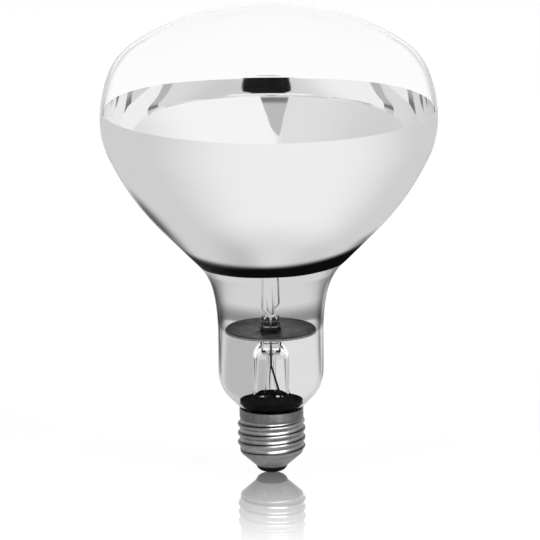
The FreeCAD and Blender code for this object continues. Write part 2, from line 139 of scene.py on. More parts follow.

# Heat shield, with a painted highlight on the front of its rim
SHIELD_RIM = (0.0174, 0.0176)
SHIELD_FRONT = (-0.006, 0.006)
SHIELD_RIM_HIGHLIGHT_TONE = (0.42, 0.10)
SHIELD_WORN_TONE = (0.03, 0.09)

# Cap, with the widths of its painted dark line and of the painted shade beside it, in pitches of the
# thread
CAP_TONE = 0.38
CAP_SCUFF_TONE = (CAP_TONE * 0.85, CAP_TONE * 1.1)
CAP_INSIDE = 0.01202
CAP_INSIDE_SHADE_TONE = 0.01
THREAD_SPAN = (0.0087, 0.0214)
THREAD_START = 0.0065
THREAD_PITCH = 0.003629
HALF_PITCH = 0.5
LINE_ABOVE_CREST = 0.2
LINE_WIDTH = (0.05, 0.09)
LINE_SOFT = 0.0004
LINE_SHADE_TONE = 0.02
SHADE_BESIDE_LINE_WIDTH = (0.05, 0.38)
SHADE_BESIDE_LINE_SHARE = 0.5
COLLAR = (0.0212, 0.0222)
COLLAR_SHARE = 0.55

# Colours and roughnesses
TUNGSTEN = ((0.3, 0.3, 0.31), 0.4)
# Painted shade: the solder is darkened, for the shade under the lamp
SHADED_SOLDER = ((0.12, 0.12, 0.12), 0.35)
SEAL_WIRE = ((0.22, 0.19, 0.17), 0.4)
NICKEL_WIRE = ((0.85, 0.84, 0.82), 0.5)
# Painted shade: the contact is darkened, for the shade under the lamp
SHADED_CONTACT_METAL = ((0.10, 0.08, 0.05), 0.3)
SHIELD_METAL = ((0.1, 0.1, 0.1), 0.4)
CAP_METAL = ((CAP_TONE, CAP_TONE, CAP_TONE), 0.3)
DARK_WIRE = ((0.006, 0.006, 0.006), 0.5)
CEMENT = ((0.03, 0.027, 0.025), 0.8)
BLACK_GLASS = ((0.004, 0.004, 0.004), 0.3)
WHITE = (1, 1, 1, 1)
METAL_SPREAD = 0.06
PLAIN_SPREAD = 0.2
PLAIN_SHEEN = 0.5
DARK_WIRE_SHEEN = 0.1
BLACK_GLASS_SHEEN = 0.04
CEMENT_BUMP = 0.6
BUMP_DEPTH = 0.0003

# Scale and detail of the noise on each surface, and the limits between which it is used
METAL_NOISE = (120.0, 5.0)
FILM_NOISE = (60.0, 4.0)
PLAIN_NOISE = (600.0, 6.0)
SHIELD_NOISE = (300.0, 6.0)
SCUFF_NOISE = (500.0, 6.0)
STEM_SHADE_RADIUS_NOISE = (900.0, 3.0)
STEM_SHADE_HEIGHT_NOISE = (400.0, 3.0)
NOISE_LIMITS = (0.3, 0.7)
SHIELD_NOISE_LIMITS = (0.35, 0.75)
SCUFF_NOISE_LIMITS = (0.3, 0.75)

# Camera, which looks at the target and has it above the picture's middle by a share of its width
TARGET = Vector((0, 0, 0.090))
TARGET_ABOVE_MIDDLE = 0.0484
CAMERA_DISTANCE = 2.5
CAMERA_ELEVATION = 13.3
CAMERA_ROLL = 0.5
CAMERA_REACH = 100.0
VIEW_WIDTH = 0.2064
SENSOR_WIDTH_MM = 36.0

# Floor as the camera sees it
FLOOR_SIZE = 8.0
FLOOR_DROP = 0.0002
FLOOR_COLOUR = (0.96, 0.96, 0.96, 1)
FLOOR_ROUGHNESS = 0.6
FLOOR_GLOW = 0.7
SHINE_FADE = (0.0, 0.12)
SHINE = (0.87, 0.05)
SHINE_ROUGHNESS = 0.01

# Floor as it shows in the lamp: light levels, and for each dark oval its middle, half sizes and darkness
BRIGHT_FLOOR = (0.26, -0.97, 0.0)
FLOOR_FRONT = 0.90
FLOOR_BACK = 0.655
FLOOR_TURN = (-0.3, 1.0)
NECK_FLOOR = (0.48, 0.74)
NECK_FLOOR_SIDES = (-0.012, 0.012)
NECK_FLOOR_WIDTH = (0.030, 0.050)
NECK_FLOOR_START = (0.05, 0.09)
NECK_FLOOR_FAR = 0.65
NECK_FLOOR_CHANGE = (0.205, 0.235)
FAR_FLOOR = (0.42, 0.62)
FAR_LIGHT = 1.0
FAR_SIDES = (0.13, 0.22)
FOOT_SHADE = (0.003, 0.008)
FOOT_SHARE = 0.05
NEAR_FLOOR = (0.02, 0.08)
NEAR_SHARE = 0.80
DARK_SPOTS = [
    ((-0.100, 0.20, 0.0), (0.040, 0.10, 1.0), 0.80),
    ((0.068, 0.17, 0.0), (0.020, 0.08, 1.0), 0.65),
]
SPOT_EDGE = (0.30, 1.35)

# Studio round the lamp: bearings from the camera's side and heights in radians, and light levels
RIGHT_FADE = (1.0, 2.4)
RIGHT_LIGHT = (0.97, 0.72)
LEFT_FADE = (-1.7, -0.5)
LEFT_LIGHT = (0.67, 0.78)
BOX_MEETING = (-0.235, -0.06)
LIGHT_EDGE = 0.01
BACK_BEARING = (2.0, 2.3)
BACK_LIGHT = 1.0
CEILING_HEIGHTS = (0.95, 1.15)
CEILING_LIGHT = 0.95

# Gap between the lights in front: each side's bearing at the horizon, slope and bend at the top
GAP_RIGHT = (0.115, -0.13, -0.155)
GAP_LEFT = (-0.247, 0.065, 0.03)
GAP_TOP = 0.79
GAP_BEND = 12.0
GAP_FOOT = (0.085, 0.115)
GAP_FOOT_LIGHT = 0.62
GAP_HEIGHTS = (0.19, 0.33)
GAP_LIGHT = (0.20, 0.52)

# Dark wall behind the lamp: the bearing of each end at its middle height, and the end's slope
WALL_MIDDLE = 0.785
WALL_LEFT = (-2.43, 0.96)
WALL_RIGHT = (2.54, -0.65)
WALL_STRAIGHT_BELOW = 0.5
WALL_FOOT = (0.29, 0.37)
WALL_TOP = (1.15, 1.30)
WALL_LIGHT = 0.005

# Area lights, in metres and watts
SIDE_LIGHTS = {"left_light": (-1.6, -1.0, 1.3), "right_light": (1.6, -1.0, 1.3)}
SIDE_LIGHT_SIZE = 1.2
SIDE_LIGHT_POWER = 30.0
CAP_LIGHT_PLACE = (0.36, -0.85, 0.42)
CAP_LIGHT_SIZE = 1.1
CAP_LIGHT_POWER = 28.0

# Light paths
MAX_BOUNCES = 24
GLOSSY_BOUNCES = 12
TRANSMISSION_BOUNCES = 20
TRANSPARENT_BOUNCES = 16


def direction(angle):
    """Unit vector in the section plane, at an angle in degrees above the outward radius."""
    return Vector((math.cos(math.radians(angle)), math.sin(math.radians(angle))))


class Arc:
    """An arc of the bulb's outline between two outward normals, with a negative radius where hollow."""

    def __init__(self, centre, radius, first, last):
        self.centre = Vector(centre)
        self.radius = radius
        self.first = first
        self.last = last

    def point(self, angle, inset=0.0):
        return self.centre + direction(angle) * (self.radius - inset)

    def points(self, inset, step):
        length = abs(math.radians(self.last - self.first) * (self.radius - inset))
        count = max(LEAST_ARC_STEPS, math.ceil(length / step))
        turn = (self.last - self.first) / count
        return [self.point(self.first + turn * number, inset) for number in range(count + 1)]


def lift(arcs, top, bottom, angle):
    """Raise arcs until a cone from their lowest point meets a point below, at an angle from the axis."""
    rise = bottom.y + (top.x - bottom.x) / math.tan(math.radians(angle)) - top.y
    for arc in arcs:
        arc.centre.y += rise


def neck_arcs():
    """The throat, its blend into the neck, the heel and the seat in the cap."""
    seat = Arc((SEAT_DIAMETER / 2 + SEAT_FILLET, SEAT_HEIGHT), -SEAT_FILLET, -HEEL_ANGLE, 0)
    heel = Arc((NECK_DIAMETER / 2 - HEEL_RADIUS, 0), HEEL_RADIUS, 0, -HEEL_ANGLE)
    lift([heel], heel.point(-HEEL_ANGLE), seat.point(-HEEL_ANGLE), HEEL_ANGLE)
    blend_centre = Vector((NECK_DIAMETER / 2 + THROAT_BLEND_RADIUS, heel.centre.y + NECK_LENGTH))
    blend = Arc(blend_centre, -THROAT_BLEND_RADIUS, -THROAT_ANGLE, 0)
    throat_centre = blend_centre + direction(-THROAT_ANGLE) * (THROAT_RADIUS - THROAT_BLEND_RADIUS)
    throat = Arc(throat_centre, -THROAT_RADIUS, -CONE_ANGLE, -THROAT_ANGLE)
    return [throat, blend, heel, seat]


def reflector_arcs(throat):
    """The bulge and the reflector under it, with a cone from there to the throat."""
    bulge = Arc((BULB_DIAMETER / 2 - BULGE_RADIUS, 0), BULGE_RADIUS, 0, -BULGE_ANGLE)
    reflector_centre = bulge.centre + direction(-BULGE_ANGLE) * (BULGE_RADIUS - REFLECTOR_RADIUS)
    reflector = Arc(reflector_centre, REFLECTOR_RADIUS, -BULGE_ANGLE, -CONE_ANGLE)
    lift([bulge, reflector], reflector.point(-CONE_ANGLE), throat.point(-CONE_ANGLE), CONE_ANGLE)
    return [bulge, reflector]


def crown_arcs(bulge):
    """The crown, the shoulder and the side, which stands on the bulge."""
    side_centre = Vector((BULB_DIAMETER / 2 - SIDE_RADIUS, bulge.centre.y))
    side = Arc(side_centre, SIDE_RADIUS, SIDE_ANGLE, 0)
    shoulder_centre = side_centre + direction(SIDE_ANGLE) * (SIDE_RADIUS - SHOULDER_RADIUS)
    crown_angle = math.degrees(math.acos(shoulder_centre.x / (CROWN_RADIUS - SHOULDER_RADIUS)))
    crown_centre = shoulder_centre - direction(crown_angle) * (CROWN_RADIUS - SHOULDER_RADIUS)
    shoulder = Arc(shoulder_centre, SHOULDER_RADIUS, crown_angle, SIDE_ANGLE)
    crown = Arc(crown_centre, CROWN_RADIUS, UPWARD, crown_angle)
    return [crown, shoulder, side]


def bulb_arcs():
    """The arcs from the crown down to the seat in the cap."""
    neck = neck_arcs()
    reflector = reflector_arcs(neck[0])
    return crown_arcs(reflector[0]) + reflector + neck


def outline(arcs, inset, step):
    """Points at an inset from the outside of the glass, from the axis at the crown to the foot."""
    points = []
    for arc in arcs:
        for point in arc.points(inset, step):
            if not points or (point - points[-1]).length > SAME_POINT:
                points.append(point)
    points.append(Vector((points[-1].x, arcs[-1].centre.y - TAIL_LENGTH)))
    return points


def mesh_object(name, vertices, faces, sharp_angle=SHARP_ANGLE):
    """A smooth-shaded object with sharp edges past an angle."""
    mesh = bpy.data.meshes.new(name)
    mesh.from_pydata([tuple(vertex) for vertex in vertices], [], faces)
    mesh.validate()
    mesh.shade_smooth()
    mesh.set_sharp_from_angle(angle=math.radians(sharp_angle))
    made = bpy.data.objects.new(name, mesh)
    bpy.context.scene.collection.objects.link(made)
    return made


def grid_faces(rows, columns, closed):
    """Quads between rows of vertices that run round a ring, and round the section too if it is closed."""
    faces = []
    for row in range(rows if closed else rows - 1):
        above = row * columns
        below = (row + 1) % rows * columns
        for column in range(columns):
            after = (column + 1) % columns
            faces.append((above + column, below + column, below + after, above + after))
    return faces


def ring_angle(number):
    return 2 * math.pi * number / LATHE_SEGMENTS


def ring_point(radius, height, number):
    angle = ring_angle(number)
    return radius * math.cos(angle), radius * math.sin(angle), height


def lathe(name, profile):
    """A turned mesh whose profile starts and ends on the axis."""
    rings = profile[1:-1]
    segments = range(LATHE_SEGMENTS)
    vertices = [ring_point(point.x, point.y, number) for point in rings for number in segments]
    faces = grid_faces(len(rings), LATHE_SEGMENTS, False)
    first, last = len(vertices), len(vertices) + 1
    vertices += [(0, 0, profile[0].y), (0, 0, profile[-1].y)]
    end = (len(rings) - 1) * LATHE_SEGMENTS
    for number in segments:
        after = (number + 1) % LATHE_SEGMENTS
        faces.append((first, number, after))
        faces.append((last, end + after, end + number))
    return mesh_object(name, vertices, faces)


def glass_envelope(arcs):
    """The blown bulb: its outside, its foot and its inside."""
    outer = outline(arcs, GLASS_TRIM, ARC_STEP)
    inner = outline(arcs, GLASS_WALL, ARC_STEP)
    return lathe("bulb_glass", outer + inner[::-1])


def radius_at(points, height):
    """Radius of a falling outline at a height between its ends."""
    number = bisect_left(points, -height, key=lambda point: -point.y)
    above, below = points[number - 1], points[number]
    share = (above.y - height) / (above.y - below.y)
    return above.x + (below.x - above.x) * share


def film_bottom(low, angle):
    """Height of the film's lower edge, which wanders a little round the throat and rises to one side."""
    wander = sum(size * math.sin(waves * angle + start) for waves, size, start in EDGE_WAVES)
    reach = sum(size for waves, size, start in EDGE_WAVES)
    return low + EDGE_WOBBLE * (1 + wander / reach) + EDGE_RISE * (1 + math.cos(angle)) / 2


def film_face(points, low, high, shares):
    """Rows of vertices on one face of the film, at shares of the way from its upper to its lower edge."""
    vertices = []
    for share in shares:
        for number in range(LATHE_SEGMENTS):
            bottom = film_bottom(low, ring_angle(number))
            height = high + (bottom - high) * share
            vertices.append(ring_point(radius_at(points, height), height, number))
    return vertices


def mirror_film(arcs):
    """The film as a thin closed skin between its upper edge and its wandering lower edge."""
    low, high = [corner[2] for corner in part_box("mirror_coating")]
    outside = GLASS_WALL - FILM_IN_GLASS
    shares = [row / FILM_ROWS for row in range(FILM_ROWS + 1)]
    vertices = []
    for inset, order in ((outside, shares), (outside + FILM_THICKNESS, shares[::-1])):
        points = outline(arcs, inset, FILM_ARC_STEP)
        vertices += film_face(points, low + FILM_TRIM, high - FILM_TRIM, order)
    return mesh_object("mirror_film", vertices, grid_faces(2 * len(shares), LATHE_SEGMENTS, True))


def tube(name, path, radius, sides):
    """A round wire along a path of points."""
    vertices = []
    side = None
    for number, point in enumerate(path):
        before, after = path[max(number - 1, 0)], path[min(number + 1, len(path) - 1)]
        along = (after - before).normalized()
        side = along.orthogonal() if side is None else side - along * side.dot(along)
        side.normalize()
        over = along.cross(side)
        for turn in range(sides):
            angle = 2 * math.pi * turn / sides
            vertices.append(point + (side * math.cos(angle) + over * math.sin(angle)) * radius)
    faces = grid_faces(len(path), sides, False)
    faces.append(tuple(range(sides)))
    faces.append(tuple(range(len(vertices) - 1, len(vertices) - 1 - sides, -1)))
    return mesh_object(name, vertices, faces, WIRE_SHARP_ANGLE)


def filament_coil():
    """The fine coil in the place of the CAD bar, bent to the same ring."""
    low, high = [Vector(corner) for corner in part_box("filament")]
    coil = (high.z - low.z) / 2 - COIL_WIRE_DIAMETER / 2
    ring = high.x - (high.z - low.z) / 2
    gap = math.radians(COIL_HALF_GAP)
    start, sweep = gap - math.pi / 2, 2 * (math.pi - gap)
    count = round(ring * sweep / COIL_PITCH) * COIL_STEPS
    path = []
    for number in range(count + 1):
        angle = start + sweep * number / count
        turn = 2 * math.pi * number / COIL_STEPS
        radius = ring + coil * math.cos(turn)
        height = (low.z + high.z) / 2 + coil * math.sin(turn)
        path.append(Vector((radius * math.cos(angle), radius * math.sin(angle), height)))
    return tube("filament_coil", path, COIL_WIRE_DIAMETER / 2, COIL_SIDES)


def connect(tree, socket, value):
    """Link another node's output to a socket, or set the socket to a constant."""
    if isinstance(value, bpy.types.NodeSocket):
        tree.links.new(value, socket)
    else:
        socket.default_value = value


def add(tree, kind, values=None, **settings):
    """A new shader node with its settings, and its inputs by name or number."""
    node = tree.nodes.new(kind)
    for name, value in settings.items():
        setattr(node, name, value)
    for key, value in (values or {}).items():
        connect(tree, node.inputs[key], value)
    return node


def maths(tree, operation, first, second=0.0, third=0.0):
    return add(tree, "ShaderNodeMath", {0: first, 1: second, 2: third}, operation=operation).outputs[0]


def times(tree, first, second):
    return maths(tree, "MULTIPLY", first, second)


def minus(tree, first, second):
    return maths(tree, "SUBTRACT", first, second)


def vector_maths(tree, operation, first, second=(0, 0, 0)):
    """A node that works on vectors, with its outputs Vector and Value."""
    return add(tree, "ShaderNodeVectorMath", {0: first, 1: second}, operation=operation).outputs


def ramp(tree, value, low, high, start, end):
    """A value eased from start to end as it goes from low to high."""
    inputs = {"Value": value, "From Min": low, "From Max": high, "To Min": start, "To Max": end}
    return add(tree, "ShaderNodeMapRange", inputs, interpolation_type="SMOOTHSTEP").outputs[0]


def between(tree, value, rise, fade):
    """A share that goes from 0 to 1 over one pair of limits and back to 0 over another."""
    return times(tree, ramp(tree, value, *rise, 0.0, 1.0), ramp(tree, value, *fade, 1.0, 0.0))


def inside(tree, value, low, high, soft):
    """1 where a value lies between two limits and 0 outside them, with soft ends."""
    return between(tree, value, (low - soft, low + soft), (high - soft, high + soft))


def blended(tree, share, first, second):
    """A value that goes from the first to the second as a share goes from 0 to 1."""
    return add(tree, "ShaderNodeMix", {"Factor": share, "A": first, "B": second}).outputs["Result"]


def mixed(tree, share, first, second):
    """A shader that goes from the first to the second as a share goes from 0 to 1."""
    return add(tree, "ShaderNodeMixShader", {0: share, 1: first, 2: second}).outputs[0]


def position(tree, kind="Object"):
    """The shaded point in the object's own coordinates, or in those of the kind that is named."""
    return add(tree, "ShaderNodeTexCoord").outputs[kind]


def place(tree, kind="Object"):
    """The x, y and z of the shaded point."""
    return add(tree, "ShaderNodeSeparateXYZ", {0: position(tree, kind)}).outputs


def axis_distance(tree):
    """Distance of the shaded point from the lamp's axis."""
    level = vector_maths(tree, "MULTIPLY", position(tree), (1, 1, 0))["Vector"]
    return vector_maths(tree, "LENGTH", level)["Value"]


def noise(tree, scale, detail):
    """Noise in the object's own coordinates."""
    inputs = {"Vector": position(tree), "Scale": scale, "Detail": detail}
    return add(tree, "ShaderNodeTexNoise", inputs).outputs[0]


def grey(tree, value):
    """A grey colour of a value."""
    return add(tree, "ShaderNodeCombineColor", {0: value, 1: value, 2: value}).outputs[0]


def slant(tree):
    """Share of light that glass reflects, which grows the more it is seen at a slant."""
    return add(tree, "ShaderNodeFresnel", {"IOR": GLASS_IOR}).outputs[0]


def glow(tree, strength):
    """White light from a surface."""
    return add(tree, "ShaderNodeEmission", {"Color": WHITE, "Strength": strength}).outputs[0]


def painted_shade_black(tree):
    """Dull black, for painted shade."""
    return add(tree, "ShaderNodeBsdfDiffuse", {"Color": (PAINTED_SHADE_TONE, PAINTED_SHADE_TONE, PAINTED_SHADE_TONE, 1)}).outputs[0]


def material(name):
    """A new material with its node tree and its surface shader."""
    made = bpy.data.materials.new(name)
    made.use_nodes = True
    tree = made.node_tree
    return made, tree, tree.nodes["Principled BSDF"]


def show(tree, shader):
    """Make a shader the one that a material shows."""
    connect(tree, tree.nodes["Material Output"].inputs["Surface"], shader)


def set_tone(tree, tone):
    """Give a surface a grey that varies over it."""
    connect(tree, tree.nodes["Principled BSDF"].inputs["Base Color"], grey(tree, tone))


def clear_shader(tree, surface, tint):
    """Clear glass that reflects weakly except at a slant, and lets light through to what is inside."""
    connect(tree, surface.inputs["Base Color"], tint)
    connect(tree, surface.inputs["Transmission Weight"], 1.0)
    connect(tree, surface.inputs["IOR"], GLASS_IOR)
    connect(tree, surface.inputs["Roughness"], 0.0)
    through = add(tree, "ShaderNodeBsdfRefraction", {"Color": tint, "IOR": GLASS_IOR, "Roughness": 0.0})
    sheen = ramp(tree, slant(tree), *EDGE_SHEEN, GLASS_SHEEN, 1.0)
    glass = mixed(tree, sheen, through.outputs[0], surface.outputs[0])
    path = add(tree, "ShaderNodeLightPath")
    clear = add(tree, "ShaderNodeBsdfTransparent", {"Color": tint})
    soft = maths(tree, "MAXIMUM", path.outputs["Is Shadow Ray"], path.outputs["Is Diffuse Ray"])
    return mixed(tree, soft, glass, clear.outputs[0])


def bowed(tree, x, height, side, rise):
    """Height above a curve that goes up with the square of x, by its rise where x is at the side."""
    square = maths(tree, "POWER", maths(tree, "DIVIDE", x, side), 2.0)
    return maths(tree, "MULTIPLY_ADD", square, -rise, height)


def above_film_edge(tree, x, z):
    """Height above the film's lower edge, which leans to one side."""
    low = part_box("mirror_coating")[0][2] + FILM_FOOT
    return minus(tree, minus(tree, z, low), times(tree, x, FILM_LEAN))


def film_shade_band(tree, x, height):
    """1 in the band of painted shade above the film's lower edge, which is taller at the sides, and 0
    above it.
    """
    return ramp(tree, bowed(tree, x, height, FILM_SIDE, FILM_SIDE_RISE), *FILM_SHADE_BAND, 1.0, 0.0)


def neck_tint(tree, x, y, z):
    """Share of light that the glass lets through: less behind the heat shield and at the neck's sides."""
    bloom = between(tree, bowed(tree, x, z, BLOOM_SIDE, BLOOM_SIDE_RISE), BLOOM_RISE, BLOOM_FADE)
    bloom = times(tree, bloom, ramp(tree, y, *BLOOM_FRONT, 0.0, 1.0))
    smoke = ramp(tree, slant(tree), *SMOKE_SLANT, 0.0, 1.0)
    smoke = times(tree, smoke, inside(tree, z, *SMOKE_HEIGHTS, SMOKE_SOFT))
    bloomed = blended(tree, bloom, CLEAR_TINT, BLOOM_TINT)
    return times(tree, bloomed, blended(tree, smoke, 1.0, SMOKE_TINT))


def bulb_material():
    """Clear glass with a grey bloom behind the heat shield, and a ring of painted shade where the film
    ends.
    """
    made, tree, surface = material("bulb_glass")
    x, y, z = place(tree)
    clear = clear_shader(tree, surface, grey(tree, neck_tint(tree, x, y, z)))
    height = above_film_edge(tree, x, z)
    # Painted shade: a black ring on the glass just above the film's lower edge
    ring = times(tree, film_shade_band(tree, x, height), ramp(tree, height, *FILM_SHADE_BAND_FOOT, 0.0, 1.0))
    ring = times(tree, ring, ramp(tree, x, *FILM_SHADE_BAND_SIDES, *FILM_SHADE_BAND_COVER))
    show(tree, mixed(tree, ring, clear, painted_shade_black(tree)))
    return made


def ragged(tree, value, grain):
    """A value with noise added, for a ragged edge."""
    return maths(tree, "ADD", value, times(tree, noise(tree, *grain), STEM_SHADE_RAGGED))


def stem_material():
    """Clear glass, painted black under the flare as painted shade for the dark inside of the cap, with a
    ragged edge.
    """
    made, tree, surface = material("stem_glass")
    radius = ragged(tree, axis_distance(tree), STEM_SHADE_RADIUS_NOISE)
    height = ragged(tree, place(tree)["Z"], STEM_SHADE_HEIGHT_NOISE)
    # Painted shade: black low on the stem, near the axis, with ragged edges
    near = ramp(tree, radius, STEM_SHADE_RADIUS, STEM_SHADE_RADIUS + STEM_SHADE_SOFT, 1.0, 0.0)
    low = ramp(tree, height, STEM_SHADE_HEIGHT, STEM_SHADE_HEIGHT + STEM_SHADE_SOFT, 1.0, 0.0)
    clear = clear_shader(tree, surface, (CLEAR_TINT, CLEAR_TINT, CLEAR_TINT, 1))
    show(tree, mixed(tree, times(tree, near, low), clear, painted_shade_black(tree)))
    return made


def metal(name, colour, roughness):
    """Metal whose roughness varies a little over its surface."""
    made, tree, surface = material(name)
    connect(tree, surface.inputs["Base Color"], (*colour, 1))
    connect(tree, surface.inputs["Metallic"], 1.0)
    smooth, rough = roughness - METAL_SPREAD, roughness + METAL_SPREAD
    patchy = ramp(tree, noise(tree, *METAL_NOISE), *NOISE_LIMITS, smooth, rough)
    connect(tree, surface.inputs["Roughness"], patchy)
    return made


def shield_material():
    """Dull sheet with a turned-down rim that has a painted highlight in front."""
    made = metal("shield_metal", *SHIELD_METAL)
    tree = made.node_tree
    rim = ramp(tree, axis_distance(tree), *SHIELD_RIM, 0.0, 1.0)
    worn = ramp(tree, noise(tree, *SHIELD_NOISE), *SHIELD_NOISE_LIMITS, *SHIELD_WORN_TONE)
    # Painted highlight: the rim is lighter in front than behind
    painted_highlight = ramp(tree, place(tree)["Y"], *SHIELD_FRONT, *SHIELD_RIM_HIGHLIGHT_TONE)
    set_tone(tree, blended(tree, rim, worn, painted_highlight))
    return made


def line_distance(tree, x, y, z):
    """Distance from the painted dark line that winds round the cap above the thread's crest, in pitches.
    """
    turns = maths(tree, "DIVIDE", maths(tree, "ARCTAN2", y, x), 2 * math.pi)
    climb = maths(tree, "DIVIDE", minus(tree, z, THREAD_START), THREAD_PITCH)
    phase = minus(tree, minus(tree, climb, turns), LINE_ABOVE_CREST)
    return maths(tree, "PINGPONG", phase, HALF_PITCH)


def cap_inside_shade(tree, z):
    """1 on the inside of the cap, from the thread's foot up, where it is painted dark as shade, and 0
    elsewhere.
    """
    within = maths(tree, "LESS_THAN", axis_distance(tree), CAP_INSIDE)
    return times(tree, within, maths(tree, "GREATER_THAN", z, THREAD_SPAN[0]))


def cap_material():
    """Nickel with a painted dark line along the thread, painted shade beside the line, a darker collar
    and an inside painted dark as shade.
    """
    made = metal("cap_metal", *CAP_METAL)
    tree = made.node_tree
    x, y, z = place(tree)
    apart = line_distance(tree, x, y, z)
    threaded = inside(tree, z, *THREAD_SPAN, LINE_SOFT)
    # Painted shade: a dark line along the thread and darker metal beside it
    shade_line = times(tree, ramp(tree, apart, *LINE_WIDTH, 1.0, 0.0), threaded)
    shaded_beside_line = ramp(tree, apart, *SHADE_BESIDE_LINE_WIDTH, 1.0 - SHADE_BESIDE_LINE_SHARE, 1.0)
    tone_share = blended(tree, threaded, 1.0 - SHADE_BESIDE_LINE_SHARE / 2, shaded_beside_line)
    tone_share = times(tree, tone_share, ramp(tree, z, *COLLAR, 1.0, COLLAR_SHARE))
    scuffed = ramp(tree, noise(tree, *SCUFF_NOISE), *SCUFF_NOISE_LIMITS, *CAP_SCUFF_TONE)
    tone = blended(tree, shade_line, times(tree, scuffed, tone_share), LINE_SHADE_TONE)
    # Painted shade: the inside of the cap is made dark
    set_tone(tree, blended(tree, cap_inside_shade(tree, z), tone, CAP_INSIDE_SHADE_TONE))
    return made


def mirror_material():
    """Bright film with a band of painted shade at its lower edge, which is black but grey on one side."""
    made, tree, surface = material("mirror_film")
    x, _, z = place(tree)
    # Painted shade: the band is black, and grey on one side
    band_shade = ramp(tree, x, *FILM_SHADE_BAND_SIDES, *FILM_SHADE_BAND_TONE)
    shade_band = film_shade_band(tree, x, above_film_edge(tree, x, z))
    set_tone(tree, blended(tree, shade_band, FILM_TONE, band_shade))
    connect(tree, surface.inputs["Metallic"], 1.0)
    patchy = ramp(tree, noise(tree, *FILM_NOISE), *NOISE_LIMITS, *FILM_ROUGHNESS)
    connect(tree, surface.inputs["Roughness"], patchy)
    return made


def plain(name, colour, roughness, bump=0.0, sheen=PLAIN_SHEEN):
    """An opaque surface with a little grain."""
    made, tree, surface = material(name)
    connect(tree, surface.inputs["Base Color"], (*colour, 1))
    connect(tree, surface.inputs["Specular IOR Level"], sheen)
    grain = noise(tree, *PLAIN_NOISE)
    smooth, rough = roughness * (1 - PLAIN_SPREAD), roughness * (1 + PLAIN_SPREAD)
    connect(tree, surface.inputs["Roughness"], ramp(tree, grain, *NOISE_LIMITS, smooth, rough))
    if bump:
        bumped = add(tree, "ShaderNodeBump", {"Strength": bump, "Distance": BUMP_DEPTH, "Height": grain})
        connect(tree, surface.inputs["Normal"], bumped.outputs[0])
    return made


def beyond(tree, bearing, edge):
    """1 where a bearing is past an edge and 0 before it."""
    return ramp(tree, minus(tree, bearing, edge), -LIGHT_EDGE, LIGHT_EDGE, 0.0, 1.0)


def side_lights(tree, bearing):
    """Light of the two large soft lights, which meet in front."""
    right = ramp(tree, bearing, *RIGHT_FADE, *RIGHT_LIGHT)
    left = ramp(tree, bearing, *LEFT_FADE, *LEFT_LIGHT)
    return blended(tree, ramp(tree, bearing, *BOX_MEETING, 0.0, 1.0), left, right)


def gap_edge(tree, height, start, slope, bend):
    """Bearing of one side of the gap between the lights, straight at first and bent in at its top."""
    share = maths(tree, "MAXIMUM", maths(tree, "DIVIDE", height, GAP_TOP), 0.0)
    straight = maths(tree, "MULTIPLY_ADD", height, slope, start)
    return maths(tree, "MULTIPLY_ADD", maths(tree, "POWER", share, GAP_BEND), bend, straight)


def front_gap(tree, bearing, height):
    """1 in the gap between the lights in front and 0 elsewhere."""
    past_left = beyond(tree, bearing, gap_edge(tree, height, *GAP_LEFT))
    past_right = beyond(tree, bearing, gap_edge(tree, height, *GAP_RIGHT))
    across = times(tree, past_left, minus(tree, 1.0, past_right))
    return times(tree, across, maths(tree, "LESS_THAN", height, GAP_TOP))


def gap_light(tree, height):
    """Light in the gap, which is brighter at its foot and at its top."""
    upper = ramp(tree, height, *GAP_HEIGHTS, *GAP_LIGHT)
    return blended(tree, ramp(tree, height, *GAP_FOOT, 1.0, 0.0), upper, GAP_FOOT_LIGHT)


def bright_back(tree, bearing, height):
    """1 low on the studio's back, which the floor mirrors to the camera, and 0 elsewhere."""
    behind = ramp(tree, maths(tree, "ABSOLUTE", bearing), *BACK_BEARING, 0.0, 1.0)
    return times(tree, behind, ramp(tree, height, *WALL_FOOT, 1.0, 0.0))


def dark_wall(tree, bearing, height):
    """1 on the dark wall behind the lamp, which takes in more bearings as it goes up, and 0 elsewhere."""
    above = minus(tree, maths(tree, "MAXIMUM", height, WALL_STRAIGHT_BELOW), WALL_MIDDLE)
    ends = [maths(tree, "MULTIPLY_ADD", above, slope, end) for end, slope in (WALL_LEFT, WALL_RIGHT)]
    in_front = minus(tree, beyond(tree, bearing, ends[0]), beyond(tree, bearing, ends[1]))
    return times(tree, minus(tree, 1.0, in_front), between(tree, height, WALL_FOOT, WALL_TOP))


def world_light():
    """A studio of two large soft lights, with a gap between them in front and a dark wall behind."""
    world = bpy.data.worlds.new("studio")
    bpy.context.scene.world = world
    world.use_nodes = True
    tree = world.node_tree
    x, y, z = place(tree, "Generated")
    bearing = maths(tree, "ARCTAN2", x, times(tree, y, -1.0))
    height = maths(tree, "ARCSINE", z)
    light = side_lights(tree, bearing)
    light = blended(tree, front_gap(tree, bearing, height), light, gap_light(tree, height))
    light = blended(tree, bright_back(tree, bearing, height), light, BACK_LIGHT)
    light = blended(tree, ramp(tree, height, *CEILING_HEIGHTS, 0.0, 1.0), light, CEILING_LIGHT)
    light = blended(tree, dark_wall(tree, bearing, height), light, WALL_LIGHT)
    shown = maths(tree, "MAXIMUM", light, add(tree, "ShaderNodeLightPath").outputs["Is Camera Ray"])
    connect(tree, tree.nodes["Background"].inputs["Strength"], shown)
    connect(tree, tree.nodes["Background"].inputs["Color"], WHITE)


